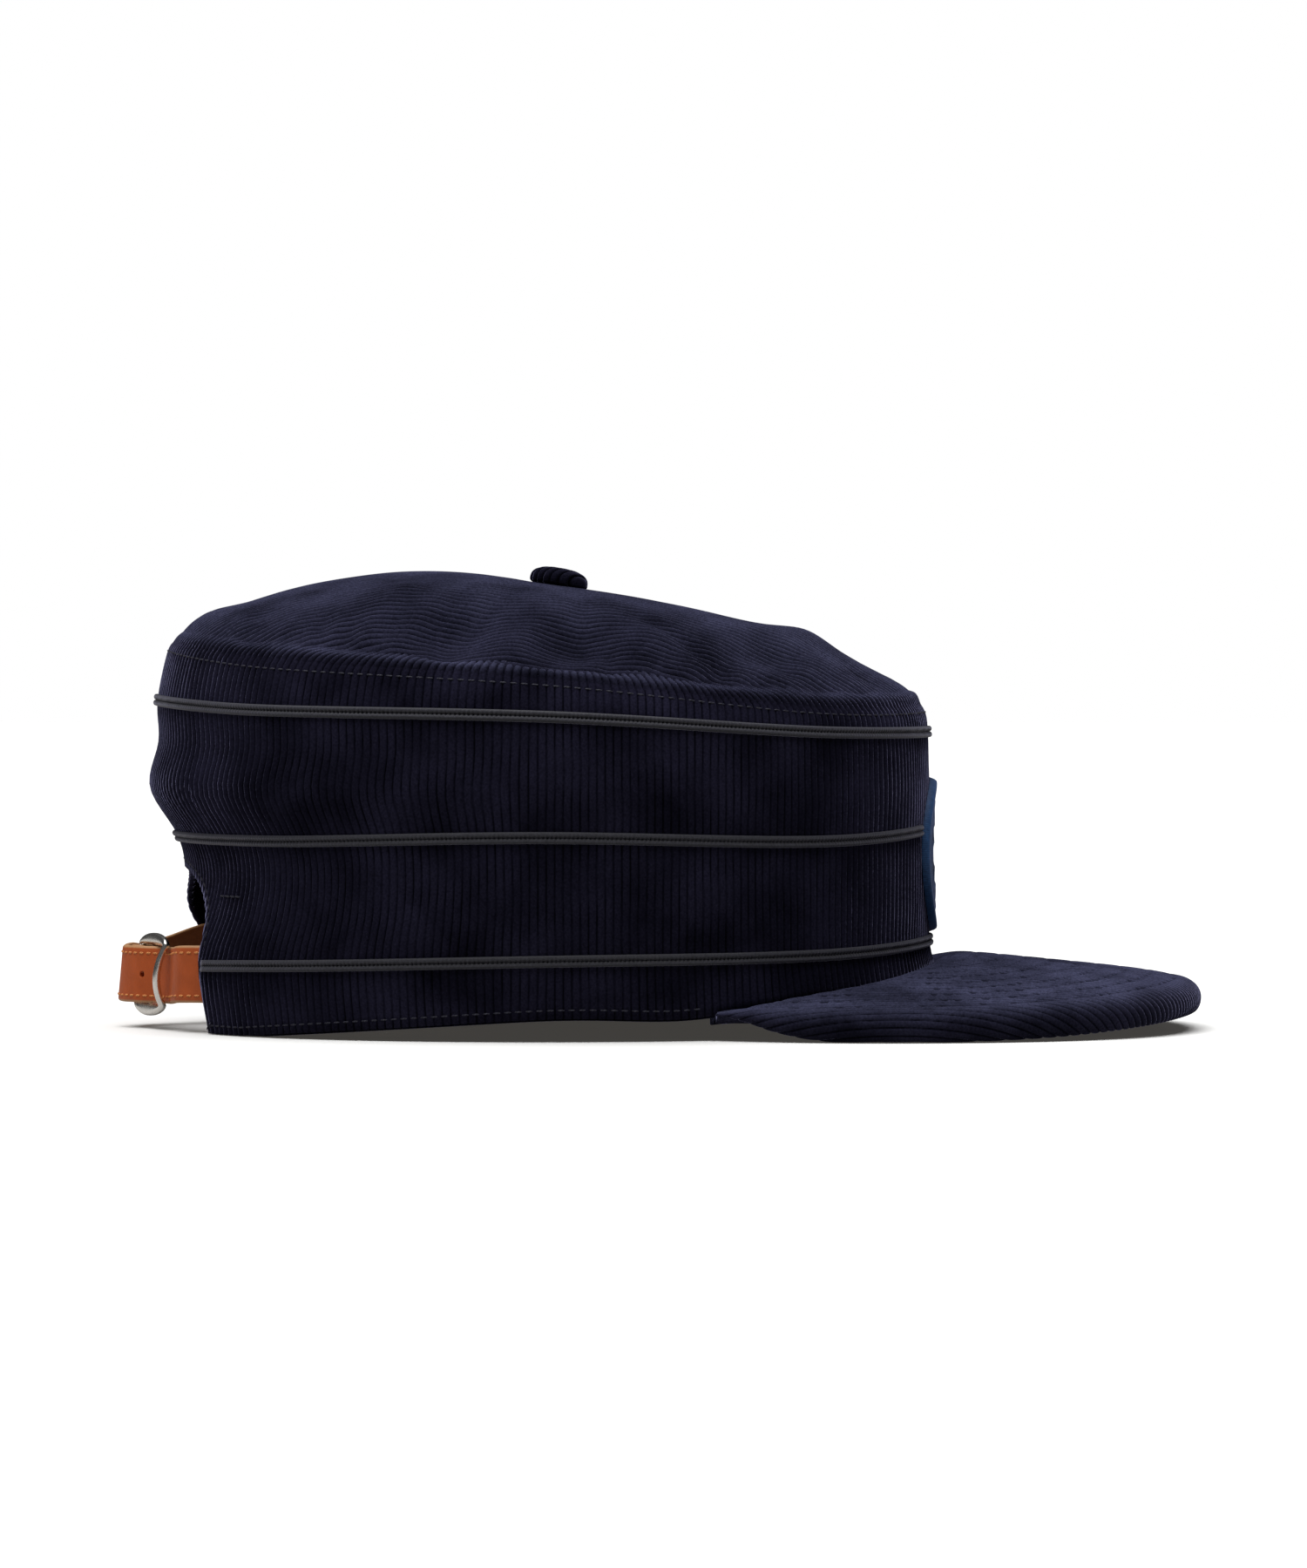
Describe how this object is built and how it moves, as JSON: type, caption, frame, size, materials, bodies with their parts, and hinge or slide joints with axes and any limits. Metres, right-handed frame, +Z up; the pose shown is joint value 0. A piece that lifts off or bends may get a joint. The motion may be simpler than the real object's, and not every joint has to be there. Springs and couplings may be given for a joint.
{
  "type": "pillbox cap",
  "caption": "Corduroy pillbox cap: tall band with rows of twin-cord braid, soft oval top with a button, curved stitched brim, arched back opening with a leather strap and metal buckle.",
  "frame": {"origin": "centre of the cap's box, on the ground that its hem and brim rest on", "axes": "+Z up, -Y forward to the brim's tip, +X to the wearer's left"},
  "size_m": [0.176, 0.276, 0.1175],
  "materials": {
    "corduroy": "navy fine-wale corduroy with a velvety nap",
    "braid": "dark grey twin-cord braid, sewn down its middle",
    "thread": "blue satin-stitched thread",
    "leather": "smooth tan leather with raw edges and tan stitching",
    "metal": "polished silver-coloured metal"
  },
  "bodies": {
    "root": {"side_band": "corduroy", "crown_top": "corduroy", "crown_button": "corduroy", "braid_top": "braid", "braid_middle": "braid", "braid_bottom": "braid", "brim": "corduroy", "front_patch": "thread", "strap_tongue": "leather", "strap_keeper": "leather", "buckle_frame": "metal"}
  },
  "joints": []
}
